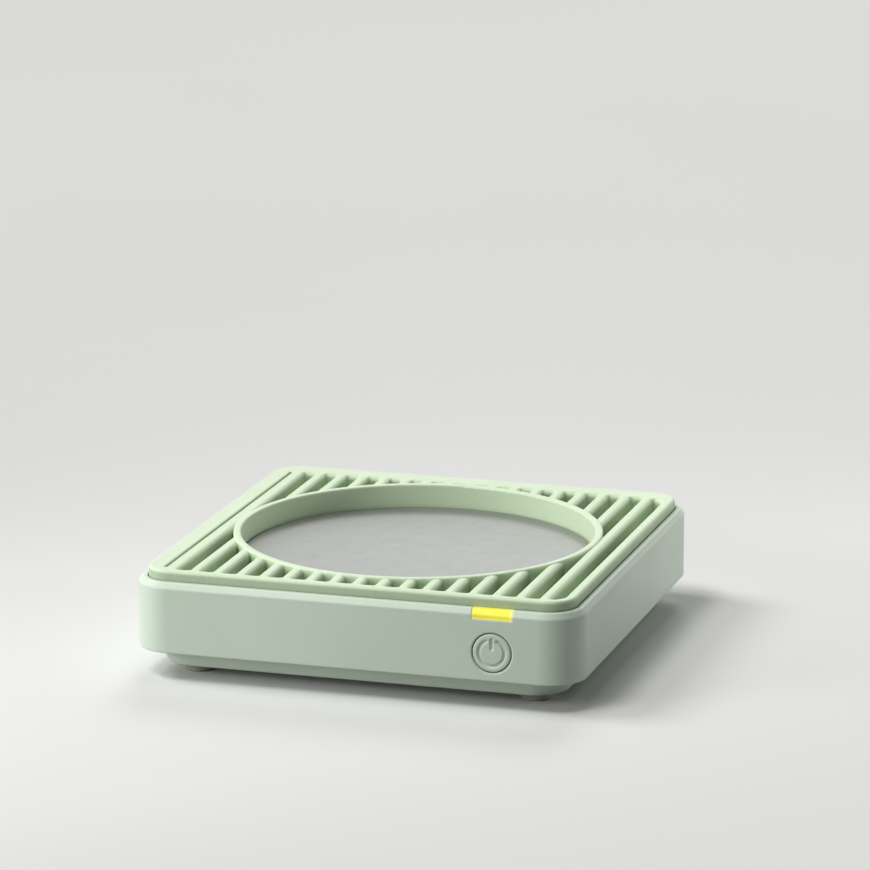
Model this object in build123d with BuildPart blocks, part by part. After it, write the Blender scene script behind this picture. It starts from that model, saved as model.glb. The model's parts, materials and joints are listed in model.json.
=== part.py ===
from build123d import *
import math
import os

# An electric mug warmer: a flat square housing with a grille cover, a heated
# plate sunk in a ring in the middle of the grille, a power button and an
# indicator lens in the front, and a base cover on four rubber feet.
#
# Frame: millimetres, +Z up, +Y to the back. The origin is on the table,
# under the middle of the housing.

# ---------------------------------------------------------------------------
# Driving dimensions
# ---------------------------------------------------------------------------

# Body shell
body_width = 120.0        # square in plan
body_corner = 10.0        # radius of the upright corners
wall = 2.35               # of the sides, also of the rim round the cover
side_height = 17.3        # upright part of the side, from its lower edge to the bevel
bevel_rise = 1.45
bevel_width = 1.1         # the rest of the wall is a flat rim
shoulder_round = 0.45     # between side and bevel
hem_round = 0.4           # lower edge of the side
recess_depth = 2.1        # from the rim down to the deck
deck_thickness = 2.0

# Grille cover
cover_gap = 0.3           # round the cover, in the recess
cover_corner = 7.2
cover_height = 4.8        # from the deck to the tops of the bars
cover_round = 0.9         # outer upper edge
bar_pitch = 6.23
bar_width = 3.55
bar_round = 1.5           # the bars are nearly half round on top
side_rail = 3.15          # right and front rails
rear_rail = 7.05
slot_corner = 0.3
left_slot = 0.68          # the narrow slot between the left rail and the first bar
left_slot_round = 0.5     # upper edges of that slot
left_slot_setback = 0.6   # of its ends, from the ends of the other slots

# Ring and well
ring_bore = 47.0          # radius
ring_wall = 2.0
ring_proud = 0.3          # above the bars
ring_round = 0.5
ring_gap = 0.3            # round the ring in the deck, and round the plate in the ring
well_depth = 6.25         # from the top of the ring to the plate
ledge_width = 2.5         # the ledge that carries the plate
ledge_thickness = 1.0

# Heating plate and what is under it
plate_thickness = 1.8
plate_round = 0.4
gasket_thickness = 0.8
element_thickness = 0.5
mica_thickness = 0.4
pad_thickness = 3.0
stack_gap = 0.3           # round the round sheets in the bracket, and round the posts
bracket_sheet = 1.0
post_radius = 3.0         # the three posts under the plate
post_circle = 33.0        # radius of the circle that they stand on
post_angles = (90, 210, 330)
sensor_bore = 7.0         # radius of the hole in the middle of the sheets

# Indicator lens
lens_width = 10.5
lens_drop = 1.1           # how far it reaches down the side, below the bevel
lens_gap = 0.1
guide_width = 7.0
guide_depth = 2.3         # front to back, of the leg through the deck
guide_thickness = 1.2
guide_gap = 0.3
lens_relief = 1.6         # how far the lens's root reaches up behind the rim, above the deck

# Power button
button_inset = 22.4       # from the right side; the lens is above the button
button_height = 7.5       # centre above the lower edge of the side
button_radius = 5.0
button_gap = 0.3          # round the cap
button_round = 0.45
button_travel = 0.6
hole_round = 0.4          # edge of the hole in the front wall
flange_radius = 6.2
flange_depth = 1.0
flange_half_height = 4.6
flange_gap = 0.3          # behind the wall
stem_radius = 2.0
stem_length = 0.4
symbol_radius = 3.4       # centre line of the power symbol's arc
symbol_groove = 0.3       # width at the bottom of the groove
symbol_slope = 0.45       # its sides slope out by this, all the way up
symbol_opening = 26.0     # half of the angle left open at the top, degrees
symbol_bar_low = 0.9
symbol_bar_high = 3.6

# Switch board, behind the button
switch_size = 6.0
switch_depth = 3.5
plunger_radius = 1.7
plunger_fit = 0.08
plunger_reach = 1.5       # out of the switch, at rest
plunger_hold = 1.0        # still in the switch when it is let go
board_thickness = 1.6
switch_board_width = 24.0
switch_board_high = 6.3   # above the button's centre
switch_post_spacing = 18.0
switch_post_radius = 2.5
led_width = 3.0
led_depth = 1.2
led_height = 1.6

# Base cover and feet
foot_drop = 2.75          # the feet stand out below the base cover by this
skirt_height = 4.75       # base cover that shows below the body
skirt_inset = 4.2         # from the body's side in to the top of the skirt
skirt_taper = 1.8         # from there in to the skirt's foot
base_corner_low = 9.4
base_corner_high = 9.0
base_floor = 2.0
base_wall = 2.0           # from the skirt's foot in to the tray
base_round = 0.8
flange_height = 1.5       # of the flange inside the body
base_gap = 0.3            # between that flange and the body
foot_radius = 4.2
foot_inset = 8.5          # its centre from the skirt's foot
foot_recess = 1.0
foot_gap = 0.15
foot_round = 0.6
label_length = 40.0
label_width = 20.0
label_depth = 0.3
vent_width = 2.2
vent_length = 16.0
vent_pitch = 5.0
vent_count = 4
vent_x = 36.0

# Base screws, M3
base_screw_spacing = 8.5  # from the foot's centre, along Y
screw_pad = 2.0
screw_pad_radius = 4.2
boss_radius = 3.2
boss_gap = 0.2            # from the base cover's flange
boss_pilot_depth = 9.0
m3_head_radius = 2.75
m3_head_height = 1.9
m3_shank_radius = 1.2
m3_pilot_radius = 1.3
m3_clear_radius = 1.7
m3_recess_radius = 3.1
m3_length = 8.0
hex_socket = 1.2          # half width across the flats
socket_depth = 1.0
head_round = 0.45

# Small screws, M2.5
m2_head_radius = 2.1
m2_head_height = 1.4
m2_shank_radius = 1.0
m2_pilot_radius = 1.1
m2_clear_radius = 1.35
m2_length = 4.4

# Snap hooks of the grille cover
hook_y = 30.0
hook_width = 6.0
hook_thickness = 1.4
hook_setback = 0.65       # from the cover's side
hook_barb = 0.9           # points inwards, under the deck
barb_height = 1.2
hook_gap = 0.3

# Control board
control_length = 70.0
control_width = 44.0
control_corner = 2.0
control_screw_inset = 4.0
standoff_height = 2.0
standoff_radius = 3.0

# Cord gland, slid up into a notch in the back wall
gland_bore = 2.6          # radius: takes a 5 mm round cord
gland_neck_half = 4.6
gland_flange_half = 6.4
gland_flange_depth = 1.1
gland_inner_half = 5.9
gland_inner_depth = 1.2
gland_corner = 2.0        # upper corners of the flanges
gland_gap = 0.12          # in the wall
gland_lift = 0.1          # of the inner flange, above the base cover's flange

edge_reach = 0.01         # finds the edges that lie on a level

# ---------------------------------------------------------------------------
# Levels and places worked out from them
# ---------------------------------------------------------------------------

base_z = foot_drop
floor_z = base_z + base_floor
body_z = base_z + skirt_height
shoulder_z = body_z + side_height
rim_z = shoulder_z + bevel_rise
deck_z = rim_z - recess_depth
under_deck_z = deck_z - deck_thickness
bar_top_z = deck_z + cover_height
ring_top_z = bar_top_z + ring_proud

body_half = body_width / 2
cavity_half = body_half - wall
cover_half = cavity_half - cover_gap

ring_radius = ring_bore + ring_wall
ledge_radius = ring_bore - ledge_width
plate_radius = ring_bore - ring_gap
plate_top_z = ring_top_z - well_depth
plate_low_z = plate_top_z - plate_thickness
ledge_z = plate_low_z - gasket_thickness
ledge_low_z = ledge_z - ledge_thickness
mica_z = plate_low_z - element_thickness - mica_thickness
pad_z = mica_z - pad_thickness
bracket_z = pad_z - bracket_sheet
dish_radius = ledge_radius - stack_gap
stack_radius = dish_radius - stack_gap

button_x = body_half - button_inset
button_z = body_z + button_height
front_y = -body_half
inner_front_y = -cavity_half
flange_y = inner_front_y + flange_gap
stem_y = flange_y + flange_depth + stem_length
plunger_rest_y = stem_y
switch_front_y = plunger_rest_y + plunger_reach
switch_board_y = switch_front_y + switch_depth
switch_board_top_z = button_z + switch_board_high
lens_x = button_x
lens_z = shoulder_z - lens_drop

base_half_high = body_half - skirt_inset
base_half_low = base_half_high - skirt_taper
tray_half = base_half_low - base_wall
base_flange_half = cavity_half - base_gap
base_flange_z = body_z + flange_height
foot_place = base_half_low - foot_inset
base_screw_x = tray_half - boss_radius - boss_gap
base_screw_y = foot_place - base_screw_spacing
switch_board_z = base_flange_z + base_gap
gland_z = base_flange_z + gland_lift + gland_inner_half
control_z = floor_z + standoff_height
control_top_z = control_z + board_thickness

quarters = [(x, y) for x in (-1, 1) for y in (-1, 1)]
base_screw_places = [(x * base_screw_x, y * base_screw_y) for x, y in quarters]
control_screw_x = control_length / 2 - control_screw_inset
control_screw_y = control_width / 2 - control_screw_inset
control_screws = [(x * control_screw_x, y * control_screw_y) for x, y in quarters]
hook_places = [(side, y * hook_y) for side, y in quarters]

os.makedirs("parts", exist_ok=True)


def body_block():
    """The outer form of the body, before it is hollowed: the lens is flush with it."""
    with BuildPart() as block:
        with BuildSketch(Plane.XY.offset(body_z)):
            RectangleRounded(body_width, body_width, body_corner)
        extrude(amount=side_height + bevel_rise)
        top = block.faces().sort_by(Axis.Z)[-1]
        chamfer(top.edges(), length=bevel_width, length2=bevel_rise, reference=top)
        shoulder = block.edges().filter_by_position(Axis.Z, shoulder_z - edge_reach, shoulder_z + edge_reach)
        fillet(shoulder, shoulder_round)
        fillet(block.faces().sort_by(Axis.Z)[0].edges(), hem_round)
    return block.part


def cylinder_at(x, y, z, radius, height, mode=Mode.ADD):
    """An upright cylinder that stands on z."""
    with Locations((x, y, z)):
        Cylinder(radius, height, align=(Align.CENTER, Align.CENTER, Align.MIN), mode=mode)


def block_at(x, y, z, length, width, height, mode=Mode.ADD):
    """An upright block that stands on z, centred on x and y."""
    with Locations((x, y, z)):
        Box(length, width, height, align=(Align.CENTER, Align.CENTER, Align.MIN), mode=mode)


def cylinder_back(x, z, y, radius, depth, mode=Mode.ADD):
    """A cylinder along Y that starts at y and runs back by its depth."""
    with Locations(Location((x, y, z), (-90, 0, 0))):
        Cylinder(radius, depth, align=(Align.CENTER, Align.CENTER, Align.MIN), mode=mode)


def gland_plate(half, low_z, y, depth):
    """A flange of the cord gland: half wide to each side and above the bore, down to low_z."""
    with BuildPart() as plate:
        block_at(0, y + depth / 2, low_z, 2 * half, depth, gland_z + half - low_z)
        fillet(plate.edges().filter_by(Axis.Y).group_by(Axis.Z)[-1], gland_corner)
    return plate.part


def screw(plane, head_radius, head_height, shank_radius, shank_length):
    """A pan head screw: its head stands on the plane and its shank runs along the normal."""
    with BuildPart() as one:
        with BuildSketch(plane):
            Circle(head_radius)
        extrude(amount=-head_height)
        outer = one.faces().sort_by(Axis(plane.origin, plane.z_dir))[0]
        fillet(outer.edges(), head_round)
        with BuildSketch(plane):
            Circle(shank_radius)
        extrude(amount=shank_length)
        with BuildSketch(plane.offset(-head_height)):
            RegularPolygon(hex_socket, 6, major_radius=False)
        extrude(amount=socket_depth, mode=Mode.SUBTRACT)
    return one.part


# ---------------------------------------------------------------------------
# Body shell: side walls, bevelled rim, deck, and the bosses that screws bite in
# ---------------------------------------------------------------------------

window_width = guide_width + 2 * guide_gap
window_depth = guide_depth + guide_gap
hook_inner = cover_half - hook_setback - hook_thickness
switch_posts = [button_x - switch_post_spacing / 2, button_x + switch_post_spacing / 2]

with BuildPart() as body_shell:
    add(body_block())
    # room inside, below the deck
    with BuildSketch(Plane.XY.offset(body_z)):
        RectangleRounded(2 * cavity_half, 2 * cavity_half, body_corner - wall)
    extrude(amount=under_deck_z - body_z, mode=Mode.SUBTRACT)
    # recess for the grille cover, above the deck
    with BuildSketch(Plane.XY.offset(deck_z)):
        RectangleRounded(2 * cavity_half, 2 * cavity_half, cover_corner + cover_gap)
    extrude(amount=recess_depth, mode=Mode.SUBTRACT)
    # opening for the ring
    cylinder_at(0, 0, under_deck_z, ring_radius + ring_gap, deck_thickness, Mode.SUBTRACT)
    # bosses for the base screws
    boss_z = floor_z + screw_pad
    for x, y in base_screw_places:
        cylinder_at(x, y, boss_z, boss_radius, under_deck_z - boss_z)
        cylinder_at(x, y, boss_z, m3_pilot_radius, boss_pilot_depth, Mode.SUBTRACT)
    # posts for the switch board
    post_length = switch_board_y - inner_front_y
    for x in switch_posts:
        cylinder_back(x, button_z, inner_front_y - wall / 2, switch_post_radius, post_length + wall / 2)
        cylinder_back(x, button_z, inner_front_y, m2_pilot_radius, post_length, Mode.SUBTRACT)
    # hole for the button, with a softened edge
    cylinder_back(button_x, button_z, front_y, button_radius + button_gap, wall, Mode.SUBTRACT)
    circles = body_shell.edges().filter_by(GeomType.CIRCLE)
    fillet(circles.filter_by_position(Axis.Y, front_y - edge_reach, front_y + edge_reach), hole_round)
    # notch for the lens, and the window that its light guide passes
    notch_width = lens_width + 2 * lens_gap
    notch_z = lens_z - lens_gap
    block_at(lens_x, front_y + wall / 2, notch_z, notch_width, wall, rim_z - notch_z, Mode.SUBTRACT)
    window_y = inner_front_y + window_depth / 2
    block_at(lens_x, window_y, under_deck_z, window_width, window_depth, deck_thickness, Mode.SUBTRACT)
    # windows for the snap hooks
    hook_window_inner = hook_inner - hook_gap
    for side, y in hook_places:
        hook_window_x = side * (hook_window_inner + cavity_half) / 2
        hook_window = (cavity_half - hook_window_inner, hook_width + 2 * hook_gap, deck_thickness)
        block_at(hook_window_x, y, under_deck_z, *hook_window, Mode.SUBTRACT)
    # notch for the cord gland, open at the lower edge, and the seat of its outer flange
    gland_notch_half = gland_neck_half + gland_gap
    gland_notch_height = gland_z + gland_notch_half - body_z
    block_at(0, cavity_half + wall / 2, body_z, 2 * gland_notch_half, wall, gland_notch_height, Mode.SUBTRACT)
    seat_y = body_half - gland_flange_depth - gland_gap
    add(gland_plate(gland_flange_half + gland_gap, body_z, seat_y, body_half - seat_y), mode=Mode.SUBTRACT)
body_shell.part.label = "body_shell"
export_step(body_shell.part, "parts/body_shell.step")

# ---------------------------------------------------------------------------
# Grille cover: rails, bars and the ring with its ledge, in one moulding
# ---------------------------------------------------------------------------

half_count = int((cover_half - side_rail - left_slot - bar_width / 2) / bar_pitch)
outer_bar = half_count * bar_pitch + bar_width / 2
field_left = -outer_bar - left_slot
field_right = cover_half - side_rail
field_front = -cover_half + side_rail
field_rear = cover_half - rear_rail
field_corner = cover_corner - side_rail
slot_width = bar_pitch - bar_width
slots = [((i + 0.5) * bar_pitch, slot_width) for i in range(-half_count, half_count)]
slots.append(((field_right + outer_bar) / 2, field_right - outer_bar))
field_y = (field_front + field_rear) / 2
field_depth = field_rear - field_front
left_slot_place = ((field_left - outer_bar) / 2, field_y)

with BuildPart() as grille_cover:
    with BuildSketch(Plane.XY.offset(deck_z)):
        RectangleRounded(2 * cover_half, 2 * cover_half, cover_corner)
    extrude(amount=cover_height)
    fillet(grille_cover.faces().sort_by(Axis.Z)[-1].edges(), cover_round)
    # slots, clipped at the right corners of the field so that the rails keep their width
    with BuildSketch(Plane.XY.offset(deck_z)) as slot_sketch:
        for x, width in slots:
            with Locations((x, field_y)):
                Rectangle(width, field_depth)
        with Locations(((field_left + field_right) / 2, field_y)):
            RectangleRounded(field_right - field_left, field_depth, field_corner, mode=Mode.INTERSECT)
        bar_sides = slot_sketch.vertices().filter_by_position(Axis.X, -outer_bar, outer_bar + edge_reach)
        fillet(bar_sides, slot_corner)
    extrude(amount=cover_height, mode=Mode.SUBTRACT)
    top_face = grille_cover.faces().filter_by(Axis.Z).sort_by(Axis.Z)[-1]
    fillet([edge for wire in top_face.inner_wires() for edge in wire.edges()], bar_round)
    # the narrow slot at the left
    with BuildSketch(Plane.XY.offset(deck_z)):
        with Locations(left_slot_place):
            SlotOverall(field_depth - 2 * left_slot_setback, left_slot, rotation=90)
    extrude(amount=cover_height, mode=Mode.SUBTRACT)
    top_face = grille_cover.faces().filter_by(Axis.Z).sort_by(Axis.Z)[-1]
    narrow_edges = top_face.inner_wires().sort_by(Axis.X)[0].edges()
    fillet(narrow_edges, left_slot_round)
    # the ring: an annular wall with a ledge at its foot
    cylinder_at(0, 0, deck_z, ring_radius - ring_wall / 2, cover_height, Mode.SUBTRACT)
    with BuildSketch(Plane.XZ) as ring_profile:
        with BuildLine():
            Polyline(
                (ring_bore, ring_top_z),
                (ring_radius, ring_top_z),
                (ring_radius, ledge_low_z),
                (ledge_radius, ledge_low_z),
                (ledge_radius, ledge_z),
                (ring_bore, ledge_z),
                close=True,
            )
        make_face()
        crest = ring_profile.vertices().sort_by(Axis.Y)[-2:]
        fillet(crest, ring_round)
    revolve(axis=Axis.Z)
    # relief under the front rail, round the root of the lens
    relief_depth = guide_depth - cover_gap + guide_gap
    block_at(
        lens_x, relief_depth / 2 - cover_half, deck_z, window_width, relief_depth, lens_relief + guide_gap,
        Mode.SUBTRACT,
    )
    # snap hooks under the side rails
    barb_top_z = under_deck_z - hook_gap
    hook_z = barb_top_z - barb_height
    for side, y in hook_places:
        hook_x = side * (hook_inner + hook_thickness / 2)
        block_at(hook_x, y, hook_z, hook_thickness, hook_width, deck_z - hook_z)
        block_at(side * (hook_inner - hook_barb / 2), y, hook_z, hook_barb, hook_width, barb_height)
grille_cover.part.label = "grille_cover"
export_step(grille_cover.part, "parts/grille_cover.step")

# ---------------------------------------------------------------------------
# Heating plate and the stack under it
# ---------------------------------------------------------------------------

post_places = [
    (post_circle * math.cos(math.radians(a)), post_circle * math.sin(math.radians(a))) for a in post_angles
]
post_hole = post_radius + stack_gap
fuse_y = 18.0
fuse_pocket_length = 13.0
fuse_pocket_width = 5.0
lead_radius = 0.8
lead_hole = lead_radius + stack_gap
lead_places = [(-26.0, -2.0), (-26.0, 3.0)]


def stack_sheet(z, thickness):
    """A round sheet of the heater stack, open round the posts and the sensor."""
    with BuildPart() as sheet:
        cylinder_at(0, 0, z, stack_radius, thickness)
        cylinder_at(0, 0, z, sensor_bore, thickness, Mode.SUBTRACT)
        for x, y in post_places:
            cylinder_at(x, y, z, post_hole, thickness, Mode.SUBTRACT)
    return sheet.part


with BuildPart() as heating_plate:
    cylinder_at(0, 0, plate_low_z, plate_radius, plate_thickness)
    fillet(heating_plate.faces().sort_by(Axis.Z)[-1].edges(), plate_round)
    for x, y in post_places:
        cylinder_at(x, y, pad_z, post_radius, plate_low_z - pad_z)
        cylinder_at(x, y, pad_z, m3_pilot_radius, plate_low_z - pad_z, Mode.SUBTRACT)
heating_plate.part.label = "heating_plate"
export_step(heating_plate.part, "parts/heating_plate.step")

with BuildPart() as plate_gasket:
    cylinder_at(0, 0, ledge_z, plate_radius, gasket_thickness)
    cylinder_at(0, 0, ledge_z, ledge_radius, gasket_thickness, Mode.SUBTRACT)
plate_gasket.part.label = "plate_gasket"
export_step(plate_gasket.part, "parts/plate_gasket.step")

with BuildPart() as heater_element:
    add(stack_sheet(plate_low_z - element_thickness, element_thickness))
heater_element.part.label = "heater_element"
export_step(heater_element.part, "parts/heater_element.step")

with BuildPart() as mica_sheet:
    add(stack_sheet(mica_z, mica_thickness))
    for x, y in lead_places:
        cylinder_at(x, y, mica_z, lead_hole, mica_thickness, Mode.SUBTRACT)
mica_sheet.part.label = "mica_sheet"
export_step(mica_sheet.part, "parts/mica_sheet.step")

with BuildPart() as insulation_pad:
    add(stack_sheet(pad_z, pad_thickness))
    block_at(0, fuse_y, pad_z, fuse_pocket_length, fuse_pocket_width, pad_thickness, Mode.SUBTRACT)
    for x, y in lead_places:
        cylinder_at(x, y, pad_z, lead_hole, pad_thickness, Mode.SUBTRACT)
insulation_pad.part.label = "insulation_pad"
export_step(insulation_pad.part, "parts/insulation_pad.step")

# Bracket: a shallow dish that is screwed to the posts and pulls its flange up
# against the ledge of the ring, so the plate and the ring clamp together.
flange_outer = ring_radius - ring_wall / 4
sensor_hole = 4.0         # radius

with BuildPart() as heater_bracket:
    cylinder_at(0, 0, bracket_z, dish_radius + bracket_sheet, ledge_low_z - bracket_z)
    cylinder_at(0, 0, ledge_low_z - bracket_sheet, flange_outer, bracket_sheet)
    cylinder_at(0, 0, pad_z, dish_radius, ledge_low_z - pad_z, Mode.SUBTRACT)
    cylinder_at(0, 0, bracket_z, sensor_hole, bracket_sheet, Mode.SUBTRACT)
    for x, y in post_places:
        cylinder_at(x, y, bracket_z, m3_clear_radius, bracket_sheet, Mode.SUBTRACT)
    for x, y in lead_places:
        cylinder_at(x, y, bracket_z, lead_hole, bracket_sheet, Mode.SUBTRACT)
heater_bracket.part.label = "heater_bracket"
export_step(heater_bracket.part, "parts/heater_bracket.step")

bracket_screw_length = bracket_sheet + pad_thickness
with BuildPart() as bracket_screws:
    for x, y in post_places:
        place = Plane(origin=(x, y, bracket_z), z_dir=(0, 0, 1))
        add(screw(place, m3_head_radius, m3_head_height, m3_shank_radius, bracket_screw_length))
bracket_screws.part.label = "bracket_screws"
export_step(bracket_screws.part, "parts/bracket_screws.step")

# Thermistor: a capped bead pressed against the plate by a silicone plug
thermistor_radius = 2.5
thermistor_height = 1.6
thermistor_round = 0.3
plug_flange_radius = 6.0
plug_flange = 1.0
plug_tail = 1.0
plug_squeeze = 0.15       # the tail is this much smaller than its hole

with BuildPart() as thermistor:
    cylinder_at(0, 0, plate_low_z - thermistor_height, thermistor_radius, thermistor_height)
    fillet(thermistor.edges().filter_by(GeomType.CIRCLE), thermistor_round)
thermistor.part.label = "thermistor"
export_step(thermistor.part, "parts/thermistor.step")

plug_top_z = plate_low_z - thermistor_height
with BuildPart() as thermistor_plug:
    cylinder_at(0, 0, bracket_z - plug_tail, sensor_hole - plug_squeeze, plug_tail + bracket_sheet)
    cylinder_at(0, 0, pad_z, plug_flange_radius, plug_flange)
    cylinder_at(0, 0, pad_z + plug_flange, thermistor_radius, plug_top_z - pad_z - plug_flange)
thermistor_plug.part.label = "thermistor_plug"
export_step(thermistor_plug.part, "parts/thermistor_plug.step")

# Thermal fuse: a small cylinder with two wire ends, lying in its pocket
fuse_clearance = 0.1      # above and below it, in the pad
fuse_radius = pad_thickness / 2 - fuse_clearance
fuse_length = 8.0
fuse_wire_radius = 0.4
fuse_wire_length = 1.8

with BuildPart() as thermal_fuse:
    with Locations(Location((0, fuse_y, pad_z + pad_thickness / 2), (0, 90, 0))):
        Cylinder(fuse_radius, fuse_length)
        Cylinder(fuse_wire_radius, fuse_length + 2 * fuse_wire_length)
thermal_fuse.part.label = "thermal_fuse"
export_step(thermal_fuse.part, "parts/thermal_fuse.step")

# ---------------------------------------------------------------------------
# Indicator lens: flush with the side and the bevel, with a light guide inside
# ---------------------------------------------------------------------------

led_front_y = switch_board_y - led_depth
led_clearance = 0.1       # under the deck
led_z = under_deck_z - led_clearance - led_height
guide_z = led_z + (led_height - guide_thickness) / 2
guide_leg_y = inner_front_y + guide_depth / 2
guide_end_y = led_front_y - guide_gap

with BuildPart() as indicator_lens:
    add(body_block())
    block_at(lens_x, front_y + wall / 2, lens_z, lens_width, wall, rim_z - lens_z, Mode.INTERSECT)
    block_at(lens_x, guide_leg_y, guide_z, guide_width, guide_depth, deck_z + lens_relief - guide_z)
    guide_run = guide_end_y - inner_front_y
    block_at(lens_x, inner_front_y + guide_run / 2, guide_z, guide_width, guide_run, guide_thickness)
indicator_lens.part.label = "indicator_lens"
export_step(indicator_lens.part, "parts/indicator_lens.step")

# ---------------------------------------------------------------------------
# Power button, the plunger it presses, and the switch board
# ---------------------------------------------------------------------------

symbol_arc = CenterArc((0, 0), symbol_radius, 90 + symbol_opening, 360 - 2 * symbol_opening)

with BuildPart() as power_button:
    cylinder_back(button_x, button_z, front_y, button_radius, flange_y - front_y)
    fillet(power_button.faces().sort_by(Axis.Y)[0].edges(), button_round)
    # retaining flange behind the wall, flattened top and bottom
    with BuildSketch(Plane(origin=(button_x, flange_y, button_z), x_dir=(1, 0, 0), z_dir=(0, 1, 0))):
        Circle(flange_radius)
        Rectangle(2 * flange_radius, 2 * flange_half_height, mode=Mode.INTERSECT)
    extrude(amount=flange_depth)
    cylinder_back(button_x, button_z, flange_y + flange_depth, stem_radius, stem_length)
    # engraved power symbol: an arc open at the top, and a bar in the opening
    with BuildSketch(Plane(origin=(button_x, front_y, button_z), x_dir=(1, 0, 0), z_dir=(0, -1, 0))):
        SlotArc(symbol_arc, symbol_groove)
        with Locations((0, (symbol_bar_low + symbol_bar_high) / 2)):
            SlotOverall(symbol_bar_high - symbol_bar_low, symbol_groove, rotation=90)
    extrude(amount=-symbol_slope - edge_reach, mode=Mode.SUBTRACT)
    cap_face = power_button.faces().filter_by(Axis.Y).sort_by(Axis.Y)[0]
    chamfer([edge for wire in cap_face.inner_wires() for edge in wire.edges()], symbol_slope)
power_button.part.label = "power_button"
export_step(power_button.part, "parts/power_button.step")

plunger_round = 0.2
with BuildPart() as switch_plunger:
    cylinder_back(button_x, button_z, plunger_rest_y, plunger_radius, plunger_reach + plunger_hold)
    fillet(switch_plunger.faces().sort_by(Axis.Y)[0].edges(), plunger_round)
switch_plunger.part.label = "switch_plunger"
export_step(switch_plunger.part, "parts/switch_plunger.step")

with BuildPart() as tact_switch:
    with Locations((button_x, switch_front_y + switch_depth / 2, button_z)):
        Box(switch_size, switch_depth, switch_size)
    bore_depth = plunger_hold + button_travel + plunger_fit
    cylinder_back(button_x, button_z, switch_front_y, plunger_radius + plunger_fit, bore_depth, Mode.SUBTRACT)
tact_switch.part.label = "tact_switch"
export_step(tact_switch.part, "parts/tact_switch.step")

with BuildPart() as switch_board:
    board_middle_y = switch_board_y + board_thickness / 2
    board_height = switch_board_top_z - switch_board_z
    block_at(button_x, board_middle_y, switch_board_z, switch_board_width, board_thickness, board_height)
    for x in switch_posts:
        cylinder_back(x, button_z, switch_board_y, m2_clear_radius, board_thickness, Mode.SUBTRACT)
switch_board.part.label = "switch_board"
export_step(switch_board.part, "parts/switch_board.step")

with BuildPart() as switch_board_screws:
    board_back_y = switch_board_y + board_thickness
    for x in switch_posts:
        back = Plane(origin=(x, board_back_y, button_z), x_dir=(1, 0, 0), z_dir=(0, -1, 0))
        add(screw(back, m2_head_radius, m2_head_height, m2_shank_radius, m2_length))
switch_board_screws.part.label = "switch_board_screws"
export_step(switch_board_screws.part, "parts/switch_board_screws.step")

with BuildPart() as indicator_led:
    block_at(lens_x, led_front_y + led_depth / 2, led_z, led_width, led_depth, led_height)
indicator_led.part.label = "indicator_led"
export_step(indicator_led.part, "parts/indicator_led.step")

# ---------------------------------------------------------------------------
# Base cover, its screws and the feet
# ---------------------------------------------------------------------------

vent_places = [
    (side * vent_x, (i - (vent_count - 1) / 2) * vent_pitch) for side in (-1, 1) for i in range(vent_count)
]
foot_places = {
    "foot_front_left": (-foot_place, -foot_place),
    "foot_front_right": (foot_place, -foot_place),
    "foot_rear_left": (-foot_place, foot_place),
    "foot_rear_right": (foot_place, foot_place),
}
label_corner = 2.0

with BuildPart() as base_cover:
    with BuildSketch(Plane.XY.offset(base_z)):
        RectangleRounded(2 * base_half_low, 2 * base_half_low, base_corner_low)
    with BuildSketch(Plane.XY.offset(body_z)):
        RectangleRounded(2 * base_half_high, 2 * base_half_high, base_corner_high)
    loft(ruled=True)
    fillet(base_cover.faces().sort_by(Axis.Z)[0].edges(), base_round)
    with BuildSketch(Plane.XY.offset(body_z)):
        RectangleRounded(2 * base_flange_half, 2 * base_flange_half, body_corner - wall - base_gap)
    extrude(amount=flange_height)
    with BuildSketch(Plane.XY.offset(floor_z)):
        RectangleRounded(2 * tray_half, 2 * tray_half, base_corner_low - base_wall)
    extrude(amount=base_flange_z - floor_z, mode=Mode.SUBTRACT)
    # pads round the base screws, with recesses for their heads
    for x, y in base_screw_places:
        cylinder_at(x, y, base_z + base_floor / 2, screw_pad_radius, base_floor / 2 + screw_pad)
        cylinder_at(x, y, base_z, m3_clear_radius, base_floor + screw_pad, Mode.SUBTRACT)
        cylinder_at(x, y, base_z, m3_recess_radius, base_floor, Mode.SUBTRACT)
    # recesses for the feet
    for x, y in foot_places.values():
        cylinder_at(x, y, base_z, foot_radius + foot_gap, foot_recess, Mode.SUBTRACT)
    # standoffs for the control board
    for x, y in control_screws:
        cylinder_at(x, y, floor_z, standoff_radius, standoff_height)
        pilot_z = base_z + base_floor / 2
        cylinder_at(x, y, pilot_z, m2_pilot_radius, control_z - pilot_z, Mode.SUBTRACT)
    # vents, and the shallow bare panel where a rating plate would be
    with BuildSketch(Plane.XY.offset(base_z)):
        with Locations(*vent_places):
            SlotOverall(vent_length, vent_width)
    extrude(amount=base_floor, mode=Mode.SUBTRACT)
    with BuildSketch(Plane.XY.offset(base_z)):
        RectangleRounded(label_length, label_width, label_corner)
    extrude(amount=label_depth, mode=Mode.SUBTRACT)
base_cover.part.label = "base_cover"
export_step(base_cover.part, "parts/base_cover.step")

with BuildPart() as base_screws:
    for x, y in base_screw_places:
        seat = Plane(origin=(x, y, floor_z), z_dir=(0, 0, 1))
        add(screw(seat, m3_head_radius, m3_head_height, m3_shank_radius, m3_length))
base_screws.part.label = "base_screws"
export_step(base_screws.part, "parts/base_screws.step")

for name, (x, y) in foot_places.items():
    with BuildPart() as foot:
        cylinder_at(x, y, 0, foot_radius, foot_drop + foot_recess)
        fillet(foot.faces().sort_by(Axis.Z)[0].edges(), foot_round)
    foot.part.label = name
    export_step(foot.part, f"parts/{name}.step")

# ---------------------------------------------------------------------------
# Control board and what is on it
# ---------------------------------------------------------------------------

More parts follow.
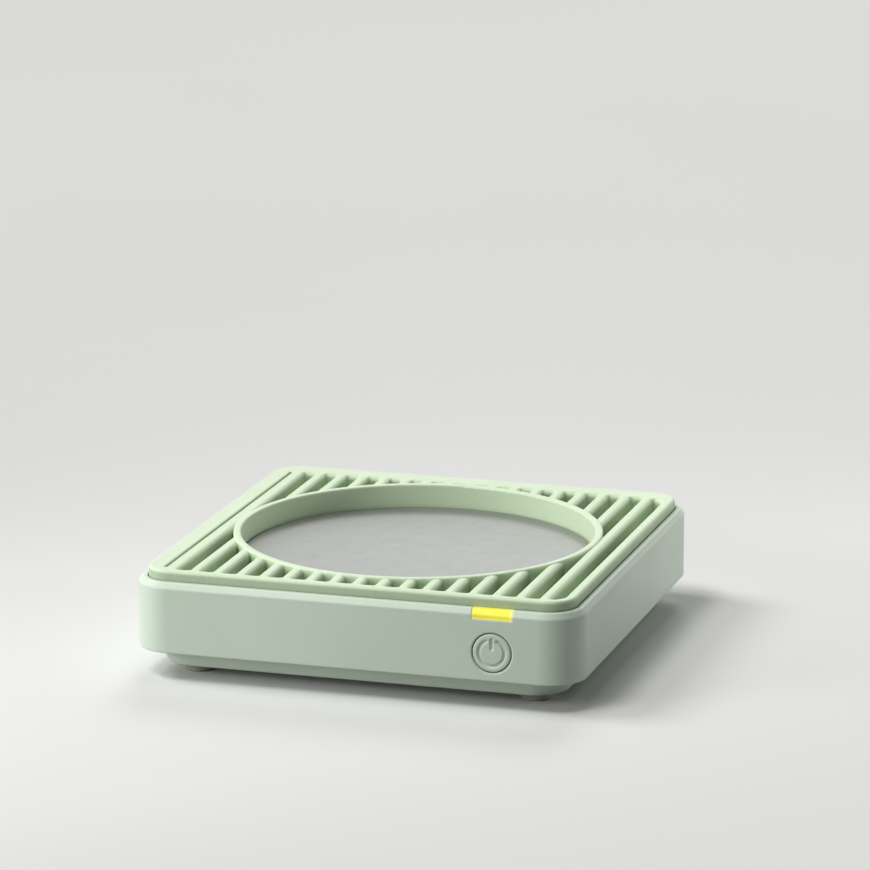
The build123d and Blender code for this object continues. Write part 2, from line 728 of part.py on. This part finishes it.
with BuildPart() as control_board:
    with BuildSketch(Plane.XY.offset(control_z)):
        RectangleRounded(control_length, control_width, control_corner)
    extrude(amount=board_thickness)
    for x, y in control_screws:
        cylinder_at(x, y, control_z, m2_clear_radius, board_thickness, Mode.SUBTRACT)
control_board.part.label = "control_board"
export_step(control_board.part, "parts/control_board.step")

board_screw_length = board_thickness + standoff_height
with BuildPart() as control_board_screws:
    for x, y in control_screws:
        place = Plane(origin=(x, y, control_top_z), z_dir=(0, 0, -1))
        add(screw(place, m2_head_radius, m2_head_height, m2_shank_radius, board_screw_length))
control_board_screws.part.label = "control_board_screws"
export_step(control_board_screws.part, "parts/control_board_screws.step")

# block parts on the board: (x, y) of the middle and (length, width, height)
heater_terminals_place = (lead_places[0][0], (lead_places[0][1] + lead_places[1][1]) / 2)
heater_terminals_size = (7.0, 12.0, 5.5)
mains_terminals_place = (0.0, 16.0)
mains_terminals_size = (12.0, 7.0, 5.5)
terminal_chamfer = 0.5
triac_place = (-13.0, -6.0)
triac_size = (10.0, 9.0, 4.4)
triac_tab_length = 5.0
triac_tab_thickness = 1.3
suppression_place = (14.0, 9.0)
suppression_size = (13.0, 7.0, 6.0)
suppression_round = 1.0
sensor_connector_size = (6.0, 4.0, 3.5)
cable_offset = 7.6        # where the cable leaves the switch board, from the button's centre
cable_shift = 6.0         # from there to the connector, sideways
cable_start_x = button_x - cable_offset
cable_connector_place = (cable_start_x - cable_shift, -12.0)
cable_connector_size = (6.0, 5.0, 4.5)


def part_on_board(place, size):
    """A plain block that stands on the control board."""
    block_at(*place, control_top_z, *size)


with BuildPart() as heater_terminals:
    part_on_board(heater_terminals_place, heater_terminals_size)
    chamfer(heater_terminals.faces().sort_by(Axis.Z)[-1].edges(), terminal_chamfer)
heater_terminals.part.label = "heater_terminals"
export_step(heater_terminals.part, "parts/heater_terminals.step")

with BuildPart() as mains_terminals:
    part_on_board(mains_terminals_place, mains_terminals_size)
    chamfer(mains_terminals.faces().sort_by(Axis.Z)[-1].edges(), terminal_chamfer)
mains_terminals.part.label = "mains_terminals"
export_step(mains_terminals.part, "parts/mains_terminals.step")

# triac, lying on its back, with its metal tab behind it
with BuildPart() as triac:
    part_on_board(triac_place, triac_size)
    tab_place = (triac_place[0], triac_place[1] + (triac_size[1] + triac_tab_length) / 2)
    part_on_board(tab_place, (triac_size[0], triac_tab_length, triac_tab_thickness))
triac.part.label = "triac"
export_step(triac.part, "parts/triac.step")

with BuildPart() as suppression_capacitor:
    part_on_board(suppression_place, suppression_size)
    fillet(suppression_capacitor.edges().filter_by(Axis.Z), suppression_round)
suppression_capacitor.part.label = "suppression_capacitor"
export_step(suppression_capacitor.part, "parts/suppression_capacitor.step")

smoothing_place = (22.0, -1.0)
smoothing_radius = 3.1
smoothing_length = 11.0
smoothing_round = 0.4
with BuildPart() as smoothing_capacitor:
    with Locations(Location((*smoothing_place, control_top_z + smoothing_radius), (0, 90, 0))):
        Cylinder(smoothing_radius, smoothing_length)
    fillet(smoothing_capacitor.edges().filter_by(GeomType.CIRCLE), smoothing_round)
smoothing_capacitor.part.label = "smoothing_capacitor"
export_step(smoothing_capacitor.part, "parts/smoothing_capacitor.step")

# glass fuse across the board, in two clips
mains_fuse_place = (-17.0, 10.0)
mains_fuse_radius = 2.5
mains_fuse_length = 20.0
fuse_cap_length = 4.0
fuse_cap_step = 0.2
clip_wall = 0.5
clip_gap = 0.05
clip_length = 3.0
cap_offset = (mains_fuse_length - fuse_cap_length) / 2

with BuildPart() as mains_fuse:
    fuse_axis_z = control_top_z + clip_wall + clip_gap + mains_fuse_radius
    with Locations(Location((*mains_fuse_place, fuse_axis_z), (0, 90, 0))):
        Cylinder(mains_fuse_radius - fuse_cap_step, mains_fuse_length)
        with Locations((0, 0, -cap_offset), (0, 0, cap_offset)):
            Cylinder(mains_fuse_radius, fuse_cap_length)
mains_fuse.part.label = "mains_fuse"
export_step(mains_fuse.part, "parts/mains_fuse.step")

with BuildPart() as fuse_clips:
    clip_inner = 2 * (mains_fuse_radius + clip_gap)
    for x in (mains_fuse_place[0] - cap_offset, mains_fuse_place[0] + cap_offset):
        y = mains_fuse_place[1]
        clip_height = clip_wall + mains_fuse_radius
        block_at(x, y, control_top_z, clip_length, clip_inner + 2 * clip_wall, clip_height)
        block_at(x, y, control_top_z + clip_wall, clip_length, clip_inner, mains_fuse_radius, Mode.SUBTRACT)
fuse_clips.part.label = "fuse_clips"
export_step(fuse_clips.part, "parts/fuse_clips.step")

# controller chip with four legs a side
chip_place = (8.0, -10.0)
chip_size = (5.0, 4.0, 1.5)
chip_lift = 0.1
leg_pitch = 1.27
leg_size = (0.45, 1.2, 0.7)
legs_a_side = 4

with BuildPart() as controller_chip:
    block_at(*chip_place, control_top_z + chip_lift, *chip_size)
    for side in (-1, 1):
        leg_y = chip_place[1] + side * (chip_size[1] + leg_size[1] / 2) / 2
        for i in range(legs_a_side):
            leg_x = chip_place[0] + leg_pitch * (i - (legs_a_side - 1) / 2)
            part_on_board((leg_x, leg_y), leg_size)
controller_chip.part.label = "controller_chip"
export_step(controller_chip.part, "parts/controller_chip.step")

# plug-in connectors: for the sensor in the middle, for the switch board in front
with BuildPart() as sensor_connector:
    part_on_board((0, 0), sensor_connector_size)
sensor_connector.part.label = "sensor_connector"
export_step(sensor_connector.part, "parts/sensor_connector.step")

with BuildPart() as cable_connector:
    part_on_board(cable_connector_place, cable_connector_size)
cable_connector.part.label = "cable_connector"
export_step(cable_connector.part, "parts/cable_connector.step")

# ---------------------------------------------------------------------------
# Leads inside
# ---------------------------------------------------------------------------

with BuildPart() as heater_leads:
    for x, y in lead_places:
        low_z = control_top_z + heater_terminals_size[2]
        cylinder_at(x, y, low_z, lead_radius, plate_low_z - element_thickness - low_z)
heater_leads.part.label = "heater_leads"
export_step(heater_leads.part, "parts/heater_leads.step")

sensor_lead_radius = 0.6
sensor_lead_x = 1.2
with BuildPart() as sensor_leads:
    for x in (-sensor_lead_x, sensor_lead_x):
        low_z = control_top_z + sensor_connector_size[2]
        cylinder_at(x, 0, low_z, sensor_lead_radius, bracket_z - plug_tail - low_z)
sensor_leads.part.label = "sensor_leads"
export_step(sensor_leads.part, "parts/sensor_leads.step")

# cable from the back of the switch board to its connector, in one S bend
cable_radius = 1.2
cable_bend = 7.0
cable_start_run = 8.0
cable_end_run = 9.0
cable_start_y = switch_board_y + board_thickness
cable_end_y = cable_connector_place[1] - cable_connector_size[1] / 2
cable_z = control_top_z + cable_connector_size[2] / 2
with BuildPart() as switch_cable:
    with BuildLine():
        cable_path = FilletPolyline(
            (cable_start_x, cable_start_y, cable_z),
            (cable_start_x, cable_start_y + cable_start_run, cable_z),
            (cable_connector_place[0], cable_end_y - cable_end_run, cable_z),
            (cable_connector_place[0], cable_end_y, cable_z),
            radius=cable_bend,
        )
    with BuildSketch(Plane(origin=(cable_start_x, cable_start_y, cable_z), x_dir=(1, 0, 0), z_dir=(0, 1, 0))):
        Circle(cable_radius)
    sweep(path=cable_path)
switch_cable.part.label = "switch_cable"
export_step(switch_cable.part, "parts/switch_cable.step")

# ---------------------------------------------------------------------------
# Cord gland: a rubber block with a groove round it, held from below by the base cover
# ---------------------------------------------------------------------------

gland_inner_y = cavity_half - gland_gap - gland_inner_depth
gland_round = 0.35
with BuildPart() as cord_gland:
    neck_depth = body_half - gland_inner_y
    neck_size = (2 * gland_neck_half, neck_depth, 2 * gland_neck_half)
    block_at(0, body_half - neck_depth / 2, gland_z - gland_neck_half, *neck_size)
    # tongue that fills the notch down to the lower edge of the wall
    block_at(0, body_half - wall / 2, body_z, 2 * gland_neck_half, wall, gland_z - body_z)
    add(gland_plate(gland_inner_half, gland_z - gland_inner_half, gland_inner_y, gland_inner_depth))
    add(gland_plate(gland_flange_half, body_z, body_half - gland_flange_depth, gland_flange_depth))
    fillet(cord_gland.faces().sort_by(Axis.Y)[-1].edges(), gland_round)
    cylinder_back(0, gland_z, gland_inner_y, gland_bore, neck_depth, Mode.SUBTRACT)
cord_gland.part.label = "cord_gland"
export_step(cord_gland.part, "parts/cord_gland.step")
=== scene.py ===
import json
import math

import bpy
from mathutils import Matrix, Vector


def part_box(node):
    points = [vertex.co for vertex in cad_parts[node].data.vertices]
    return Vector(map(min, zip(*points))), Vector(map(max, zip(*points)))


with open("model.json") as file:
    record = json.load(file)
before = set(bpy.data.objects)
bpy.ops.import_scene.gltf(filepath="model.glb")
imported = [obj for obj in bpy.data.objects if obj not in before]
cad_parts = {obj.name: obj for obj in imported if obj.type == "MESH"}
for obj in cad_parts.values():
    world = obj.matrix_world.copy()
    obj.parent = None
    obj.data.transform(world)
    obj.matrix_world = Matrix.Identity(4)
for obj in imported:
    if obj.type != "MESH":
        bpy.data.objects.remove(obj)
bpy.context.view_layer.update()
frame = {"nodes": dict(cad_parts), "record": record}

# The scene shows an electric mug warmer on a pale floor. All lengths are in metres.
MM = 0.001


def srgb(red, green, blue):
    """A colour written in 0..255 display values, as the linear RGBA that shaders take."""
    linear = []
    for value in (red, green, blue):
        share = value / 255
        linear.append(share / 12.92 if share <= 0.04045 else ((share + 0.055) / 1.055) ** 2.4)
    return (*linear, 1.0)


def darker(colour, share):
    """The colour with only that share of its light."""
    return (*(part * share for part in colour[:3]), 1.0)


# ---------------------------------------------------------------------------
# Colours and places that several materials use
# ---------------------------------------------------------------------------

# The housing is a greyer green than the grille. Both get painted shade down in the slots.
BODY = srgb(206, 221, 204)
BODY_SHADE = srgb(201, 217, 199)
# The _EDGE colours go into the fine grain speckle and into the painted highlight on edges
BODY_EDGE = srgb(236, 246, 234)
GRILLE = srgb(212, 231, 197)
GRILLE_SHADE = srgb(206, 226, 192)
GRILLE_EDGE = srgb(234, 246, 224)
SLOT_PAINTED_SHADE = srgb(102, 122, 94)

# How much painted shade there is at each level: on the deck under the slots, and up the sides of the
# bars
DECK_STEPS = [(24.3 * MM, 1.0), (24.4 * MM, 0.0)]
GRILLE_STEPS = [(24.3 * MM, 1.0), (26.6 * MM, 0.45), (27.9 * MM, 0.4), (28.6 * MM, 0.0)]

# The painted shade lies in a square of one of these half widths: on the deck it ends under the
# cover's rails, and on the cover it takes in the outer side too. The slots end within SLOT_HALF.
DECK_HALF = 56.5 * MM
COVER_HALF = 58 * MM
SLOT_HALF = 54.5 * MM

# The painted shade starts just outside the ring, and fades to OPEN_SHARE between the two radii of
# RING_SHADE.
RING_RADIUS = 49.1 * MM
RING_SHADE = (50 * MM, 60 * MM)
OPEN_SHARE = 0.3

# Level of the lens's lower edge, in the front of the housing
LENS_FOOT = 23.7 * MM

# ---------------------------------------------------------------------------
# Materials
# ---------------------------------------------------------------------------


class Nodes:
    """A material's node tree, with short calls to add and link nodes."""

    def __init__(self, name):
        self.material = bpy.data.materials.new(name)
        self.material.use_nodes = True
        self.tree = self.material.node_tree
        self.shader = self.tree.nodes["Principled BSDF"]
        self.position = self.add("ShaderNodeTexCoord").outputs["Object"]

    def add(self, kind, **settings):
        node = self.tree.nodes.new(kind)
        for key, value in settings.items():
            setattr(node, key, value)
        return node

    def link(self, source, target):
        self.tree.links.new(source, target)

    def feed(self, socket, value):
        """Gives a socket a number, a colour or another node's output."""
        if isinstance(value, (tuple, float, int)):
            socket.default_value = value
        else:
            self.link(value, socket)

    def noise(self, size, detail=2.0, roughness=0.5, stretch=(1, 1, 1)):
        """Noise from 0 to 1, with features of about size metres, stretched along the axes."""
        mapping = self.add("ShaderNodeMapping")
        mapping.inputs["Scale"].default_value = tuple(1 / (size * s) for s in stretch)
        self.link(self.position, mapping.inputs["Vector"])
        noise = self.add("ShaderNodeTexNoise")
        noise.inputs["Scale"].default_value = 1.0
        noise.inputs["Detail"].default_value = detail
        noise.inputs["Roughness"].default_value = roughness
        self.link(mapping.outputs["Vector"], noise.inputs["Vector"])
        return noise.outputs["Fac"]

    def ranged(self, value, low, high, to_low=0.0, to_high=1.0):
        """Maps value from low..high to to_low..to_high, clamped."""
        node = self.add("ShaderNodeMapRange")
        node.inputs["From Min"].default_value = low
        node.inputs["From Max"].default_value = high
        node.inputs["To Min"].default_value = to_low
        node.inputs["To Max"].default_value = to_high
        self.link(value, node.inputs["Value"])
        return node.outputs["Result"]

    def mix(self, factor, first, second):
        """A colour between two colours. In a Mix node, inputs 6 and 7 and output 2 are colours."""
        node = self.add("ShaderNodeMix", data_type="RGBA")
        self.feed(node.inputs[0], factor)
        self.feed(node.inputs[6], first)
        self.feed(node.inputs[7], second)
        return node.outputs[2]

    def math(self, operation, *values):
        node = self.add("ShaderNodeMath", operation=operation)
        for socket, value in zip(node.inputs, values):
            self.feed(socket, value)
        return node.outputs[0]

    def coordinate(self, axis):
        """X, Y or Z of the point, in metres."""
        separate = self.add("ShaderNodeSeparateXYZ")
        self.link(self.position, separate.inputs["Vector"])
        return separate.outputs[axis]

    def radius(self):
        """Distance from the upright axis through the middle, in metres."""
        flat = self.add("ShaderNodeVectorMath", operation="MULTIPLY")
        flat.inputs[1].default_value = (1, 1, 0)
        self.link(self.position, flat.inputs[0])
        length = self.add("ShaderNodeVectorMath", operation="LENGTH")
        self.link(flat.outputs["Vector"], length.inputs[0])
        return length.outputs["Value"]

    def reach(self):
        """The larger of the distances from the middle along X and along Y, in metres."""
        sides = [self.math("ABSOLUTE", self.coordinate(axis)) for axis in "XY"]
        return self.math("MAXIMUM", *sides)

    def soft_normal(self, radius):
        """A normal rounded over sharp edges by radius metres."""
        bevel = self.add("ShaderNodeBevel", samples=6)
        bevel.inputs["Radius"].default_value = radius
        return bevel.outputs["Normal"]

    def edges(self, radius):
        """1 on edges narrower than radius and 0 on flat surface."""
        flat_cosine = 0.999
        edge_cosine = 0.93
        geometry = self.add("ShaderNodeNewGeometry")
        dot = self.add("ShaderNodeVectorMath", operation="DOT_PRODUCT")
        self.link(self.soft_normal(radius), dot.inputs[0])
        self.link(geometry.outputs["Normal"], dot.inputs[1])
        return self.ranged(dot.outputs["Value"], flat_cosine, edge_cosine)

    def bump(self, height, distance, strength, normal=None):
        node = self.add("ShaderNodeBump")
        node.inputs["Strength"].default_value = strength
        node.inputs["Distance"].default_value = distance
        self.link(height, node.inputs["Height"])
        if normal is not None:
            self.link(normal, node.inputs["Normal"])
        self.link(node.outputs["Normal"], self.shader.inputs["Normal"])

    def colour(self, value):
        self.link(value, self.shader.inputs["Base Color"])

    def roughness(self, value):
        self.link(value, self.shader.inputs["Roughness"])


def painted_slot_shade(m, half_width, steps):
    """The share of painted shade at a point: by the steps of its level, within half_width and outside
    the ring.
    """
    depth = None
    for (low_z, low_share), (high_z, high_share) in zip(steps, steps[1:]):
        step = m.ranged(m.coordinate("Z"), low_z, high_z, low_share - high_share, 0.0)
        depth = step if depth is None else m.math("ADD", depth, step)
    # The painted shade is strongest in the slots beside the ring, which shades them. The cover's
    # outer side isn't a slot, and has the painted shade all round.
    beside_ring = m.ranged(m.radius(), *RING_SHADE, 1.0, OPEN_SHARE)
    shaded = m.math("MAXIMUM", beside_ring, m.math("GREATER_THAN", m.reach(), SLOT_HALF))
    within = m.math("LESS_THAN", m.reach(), half_width)
    outside_ring = m.math("GREATER_THAN", m.radius(), RING_RADIUS)
    place = m.math("MULTIPLY", shaded, m.math("MULTIPLY", within, outside_ring))
    return m.math("MULTIPLY", depth, place)


def moulded_plastic(
    name, colour, shade, pale_grain_and_highlight, rough=0.42, edge=0.35 * MM, highlight_share=0.45, half_width=0.0, steps=None
):
    """Satin moulded plastic: soft colour drift, spark-eroded grain, and edges paler by a painted
    highlight.

    With steps, shade is painted in, darker down in the slots, by the level steps given.
    """
    m = Nodes(name)
    drift = m.noise(38 * MM, detail=3)
    base = m.mix(m.ranged(drift, 0.35, 0.65), colour, shade)
    if steps:
        # Painted shade: darker towards the deck, mixed towards the dark slot colour
        base = m.mix(painted_slot_shade(m, half_width, steps), base, SLOT_PAINTED_SHADE)
    speckle = m.noise(0.5 * MM, detail=2)
    base = m.mix(m.ranged(speckle, 0.3, 0.7, 0.0, 0.12), base, pale_grain_and_highlight)
    # Painted highlight: edges are lightened towards the pale colour, by the given share
    base = m.mix(m.math("MULTIPLY", m.edges(edge), highlight_share), base, pale_grain_and_highlight)
    m.colour(base)
    m.roughness(m.ranged(m.noise(6 * MM, detail=4), 0.3, 0.7, rough - 0.05, rough + 0.06))
    m.bump(m.noise(0.22 * MM, detail=3), 0.006 * MM, 0.5, m.soft_normal(edge))
    m.shader.inputs["Specular IOR Level"].default_value = 0.32
    return m.material


def rubber(name, colour, dust):
    """Matt rubber with a dusty bloom and a fine uneven skin."""
    m = Nodes(name)
    bloom = m.noise(5 * MM, detail=5, roughness=0.6)
    m.colour(m.mix(m.ranged(bloom, 0.4, 0.75, 0.0, 0.6), colour, dust))
    m.roughness(m.ranged(bloom, 0.3, 0.7, 0.72, 0.88))
    m.bump(m.noise(0.35 * MM, detail=4), 0.02 * MM, 0.6, m.soft_normal(0.3 * MM))
    return m.material


def turned_plate(name, colour, shade):
    """A satin coated plate with faint turned rings and a light, even rub over them."""
    m = Nodes(name)
    outward = m.add("ShaderNodeCombineXYZ")
    m.link(m.radius(), outward.inputs["X"])
    rings = m.add("ShaderNodeTexNoise")
    rings.inputs["Scale"].default_value = 1 / (0.35 * MM)
    rings.inputs["Detail"].default_value = 3.0
    m.link(outward.outputs["Vector"], rings.inputs["Vector"])
    rubbed = m.noise(5 * MM, detail=6, roughness=0.7)
    base = m.mix(m.ranged(rings.outputs["Fac"], 0.35, 0.65, 0.0, 0.4), colour, shade)
    base = m.mix(m.ranged(rubbed, 0.4, 0.7, 0.0, 0.25), base, shade)
    m.colour(base)
    m.shader.inputs["Metallic"].default_value = 0.55
    m.roughness(m.ranged(rubbed, 0.3, 0.7, 0.4, 0.46))
    m.bump(rings.outputs["Fac"], 0.004 * MM, 0.5, m.soft_normal(0.3 * MM))
    return m.material


def lit_lens(name):
    """A yellow lens lit from inside, dimmer at the lower left, with a cream rim.

    The rim shows below and at the right.
    """
    m = Nodes(name)
    low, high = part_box("indicator_lens")
    rim_width = 0.7 * MM
    dim_width = 0.55 * (high.x - low.x)
    dim_height = 2.2 * MM
    right = m.ranged(m.coordinate("X"), high.x - rim_width, high.x - 0.3 * rim_width)
    below = m.ranged(m.coordinate("Z"), LENS_FOOT + 0.7 * rim_width, LENS_FOOT + 0.2 * rim_width)
    rim = m.math("MAXIMUM", right, below)
    to_left = m.ranged(m.coordinate("X"), low.x, low.x + dim_width, 1.0, 0.0)
    to_foot = m.ranged(m.coordinate("Z"), LENS_FOOT, LENS_FOOT + dim_height, 1.0, 0.0)
    lower_left = m.math("MULTIPLY", to_left, to_foot)
    cloud = m.noise(2.4 * MM, detail=3)
    glow = m.mix(m.ranged(cloud, 0.3, 0.7), srgb(255, 250, 44), srgb(246, 236, 30))
    glow = m.mix(m.math("MULTIPLY", to_foot, 0.4), glow, srgb(170, 174, 24))
    glow = m.mix(m.math("MULTIPLY", lower_left, 0.6), glow, srgb(150, 146, 18))
    glow = m.mix(m.math("MULTIPLY", rim, 0.7), glow, srgb(232, 224, 150))
    m.colour(m.mix(rim, srgb(198, 190, 52), srgb(226, 222, 160)))
    m.link(glow, m.shader.inputs["Emission Color"])
    m.shader.inputs["Emission Strength"].default_value = 0.5
    m.roughness(m.ranged(cloud, 0.3, 0.7, 0.28, 0.4))
    m.bump(m.noise(0.6 * MM), 0.01 * MM, 0.4, m.soft_normal(0.2 * MM))
    return m.material


def metal(name, colour, rough=0.32):
    """Plated or rolled metal with fine scratches and a cloudy finish."""
    m = Nodes(name)
    cloud = m.noise(3 * MM, detail=4)
    scratch = m.noise(0.12 * MM, detail=2, stretch=(14, 1, 1))
    m.colour(m.mix(m.ranged(cloud, 0.35, 0.7), colour, darker(colour, 0.78)))
    m.shader.inputs["Metallic"].default_value = 1.0
    m.roughness(m.ranged(scratch, 0.3, 0.7, rough - 0.07, rough + 0.1))
    m.bump(scratch, 0.003 * MM, 0.4, m.soft_normal(0.1 * MM))
    return m.material


def inner_plastic(name, colour, rough=0.5, metallic=0.0):
    """Small moulded or dipped parts inside the housing."""
    m = Nodes(name)
    cloud = m.noise(2 * MM, detail=4)
    m.colour(m.mix(m.ranged(cloud, 0.3, 0.7, 0.0, 0.7), colour, darker(colour, 0.72)))
    m.shader.inputs["Metallic"].default_value = metallic
    m.roughness(m.ranged(cloud, 0.3, 0.7, rough - 0.08, rough + 0.1))
    m.bump(m.noise(0.2 * MM, detail=3), 0.01 * MM, 0.4, m.soft_normal(0.1 * MM))
    return m.material


def fibre(name, colour, shade):
    """Felted fibre or flaky mica: streaked in the plane of the sheet."""
    m = Nodes(name)
    strands = m.noise(0.4 * MM, detail=5, roughness=0.7, stretch=(9, 1, 1))
    m.colour(m.mix(m.ranged(strands, 0.3, 0.7), colour, shade))
    m.shader.inputs["Roughness"].default_value = 0.9
    m.bump(strands, 0.05 * MM, 0.6)
    return m.material


# One material for each material slot of the record
MATERIALS = {
    # The housing's edges, its bevel among them, take the painted highlight in full
    "body_green": moulded_plastic(
        "body_green", BODY, BODY_SHADE, BODY_EDGE,
        rough=0.35, edge=0.55 * MM, highlight_share=1.0, half_width=DECK_HALF, steps=DECK_STEPS,
    ),
    "grille_green": moulded_plastic(
        "grille_green", GRILLE, GRILLE_SHADE, GRILLE_EDGE,
        half_width=COVER_HALF, steps=GRILLE_STEPS,
    ),
    "base_green": moulded_plastic("base_green", BODY, BODY_SHADE, BODY_EDGE, rough=0.5),
    "button_green": moulded_plastic(
        "button_green", BODY, BODY_SHADE, BODY_EDGE, rough=0.35, edge=0.12 * MM
    ),
    "lens_yellow": lit_lens("lens_yellow"),
    "plate_grey": turned_plate("plate_grey", srgb(146, 148, 144), srgb(122, 125, 121)),
    "silicone": rubber("silicone", srgb(186, 184, 176), srgb(204, 202, 196)),
    "foot_rubber": rubber("foot_rubber", srgb(160, 157, 140), srgb(184, 181, 164)),
    "gland_rubber": rubber("gland_rubber", srgb(110, 124, 110), srgb(134, 146, 134)),
    "mica": fibre("mica", srgb(184, 168, 132), srgb(150, 134, 100)),
    "fibre_pad": fibre("fibre_pad", srgb(226, 226, 220), srgb(204, 204, 196)),
    "heater_foil": metal("heater_foil", srgb(168, 160, 148)),
    "zinc_steel": metal("zinc_steel", srgb(182, 184, 186)),
    "screw_steel": metal("screw_steel", srgb(172, 172, 174), rough=0.28),
    "component_black": inner_plastic("component_black", srgb(44, 44, 47)),
    "circuit_board": inner_plastic("circuit_board", srgb(40, 104, 66), rough=0.4),
    "led_clear": inner_plastic("led_clear", srgb(240, 234, 196), rough=0.2),
    "terminal_green": inner_plastic("terminal_green", srgb(58, 134, 84)),
    "capacitor_box": inner_plastic("capacitor_box", srgb(204, 176, 62)),
    "fuse_glass": inner_plastic("fuse_glass", srgb(204, 210, 210), rough=0.15, metallic=0.4),
    "connector_white": inner_plastic("connector_white", srgb(228, 226, 218)),
    "lead_red": inner_plastic("lead_red", srgb(170, 46, 38)),
    "lead_white": inner_plastic("lead_white", srgb(222, 222, 216)),
}

for subpart in frame["record"]["subparts"]:
    piece = frame["nodes"][subpart["node"]]
    piece.data.materials.clear()
    piece.data.materials.append(MATERIALS[subpart["material_slot"]])

# ---------------------------------------------------------------------------
# Floor
# ---------------------------------------------------------------------------


def seen_ray(tree):
    """1 for rays that show the background in the picture, in a reflection or through glass."""
    path = tree.nodes.new("ShaderNodeLightPath")
    total = path.outputs["Is Camera Ray"]
    for kind in ("Is Glossy Ray", "Is Transmission Ray"):
        either = tree.nodes.new("ShaderNodeMath")
        either.operation = "MAXIMUM"
        tree.links.new(total, either.inputs[0])
        tree.links.new(path.outputs[kind], either.inputs[1])
        total = either.outputs[0]
    return total


# The floor is pale to the eye and throws back less light than that.
FLOOR_HALF = 3.0
FLOOR_THROWN = (0.38, 0.38, 0.375, 1.0)

floor_look = Nodes("floor")
floor_cloud = floor_look.ranged(floor_look.noise(0.4), 0.3, 0.7)
floor_seen = floor_look.mix(floor_cloud, srgb(232, 232, 230), srgb(228, 228, 226))
floor_look.colour(floor_look.mix(seen_ray(floor_look.tree), FLOOR_THROWN, floor_seen))
floor_look.shader.inputs["Roughness"].default_value = 0.9
floor_look.shader.inputs["Specular IOR Level"].default_value = 0.1

floor_mesh = bpy.data.meshes.new("floor")
floor_corners = [(x * FLOOR_HALF, y * FLOOR_HALF, 0) for x, y in ((-1, -1), (1, -1), (1, 1), (-1, 1))]
floor_mesh.from_pydata(floor_corners, [], [(0, 1, 2, 3)])
floor_mesh.materials.append(floor_look.material)
floor = bpy.data.objects.new("floor", floor_mesh)
bpy.context.scene.collection.objects.link(floor)

# ---------------------------------------------------------------------------
# Light
# ---------------------------------------------------------------------------


def aim(holder, place, target):
    holder.location = place
    direction = Vector(target) - Vector(place)
    holder.rotation_euler = direction.to_track_quat("-Z", "Y").to_euler()
    bpy.context.scene.collection.objects.link(holder)


def soft_sun(name, towards, level, spread):
    """A broad far lamp. level is what a white face square to it gives back."""
    lamp = bpy.data.lights.new(name, "SUN")
    lamp.energy = level * math.pi
    lamp.angle = math.radians(spread)
    aim(bpy.data.objects.new(name, lamp), towards, (0, 0, 0))


def area_light(name, place, target, size, spread, power):
    """A square lamp that shines on target in a cone, and shows in no gloss."""
    lamp = bpy.data.lights.new(name, "AREA")
    lamp.shape = "SQUARE"
    lamp.size = size
    lamp.spread = math.radians(spread)
    lamp.energy = power
    holder = bpy.data.objects.new(name, lamp)
    holder.visible_glossy = False
    aim(holder, place, target)


soft_sun("key_light", (-0.68, -0.02, 0.73), level=0.42, spread=24)
soft_sun("top_light", (-0.30, -0.32, 0.90), level=0.34, spread=20)
soft_sun("back_light", (-0.10, 0.76, 0.64), level=0.25, spread=24)
# These two stand near, so the front is brighter at its left end, and the right side at its far
# end. Their cones keep the floor even.
area_light(
    "left_light", (-0.32, -0.30, 0.13), target=(-0.04, -0.04, 0.015), size=0.2, spread=60, power=0.125
)
area_light(
    "right_light", (0.46, 0.36, 0.08), target=(0.06, 0.07, 0.015), size=0.12, spread=30, power=0.038
)

# The world is white to the eye and gives less light than that.
WORLD_LEVEL = 0.1

world = bpy.data.worlds.new("world")
bpy.context.scene.world = world
world.use_nodes = True
background = world.node_tree.nodes["Background"]
background.inputs["Color"].default_value = (1, 1, 1, 1)
strength = world.node_tree.nodes.new("ShaderNodeMapRange")
strength.inputs["To Min"].default_value = WORLD_LEVEL
strength.inputs["To Max"].default_value = 1.0
world.node_tree.links.new(seen_ray(world.node_tree), strength.inputs["Value"])
world.node_tree.links.new(strength.outputs["Result"], background.inputs["Strength"])

# ---------------------------------------------------------------------------
# Camera
# ---------------------------------------------------------------------------

# Where it stands round the object, how far from the point that it looks at, and its lens,
# whose length is in millimetres, as its sensor's width is.
AZIMUTH = math.radians(16.76)
ELEVATION = math.radians(13.93)
DISTANCE = 1306.4 * MM
AIM = Vector((4.65, 0, 55.24)) * MM
LENS_LENGTH = 204.93
SENSOR_WIDTH = 36

camera_data = bpy.data.cameras.new("camera")
camera_data.lens = LENS_LENGTH
camera_data.sensor_width = SENSOR_WIDTH
camera_data.clip_start = 0.05
camera_data.clip_end = 20
camera = bpy.data.objects.new("camera", camera_data)
bpy.context.scene.collection.objects.link(camera)
level_part = math.cos(ELEVATION)
back = Vector(
    (math.sin(AZIMUTH) * level_part, -math.cos(AZIMUTH) * level_part, math.sin(ELEVATION))
)
camera.location = AIM + back * DISTANCE
camera.rotation_mode = "QUATERNION"
camera.rotation_quaternion = (-back).to_track_quat("-Z", "Y")
bpy.context.scene.camera = camera
bpy.context.scene.view_settings.view_transform = "Standard"
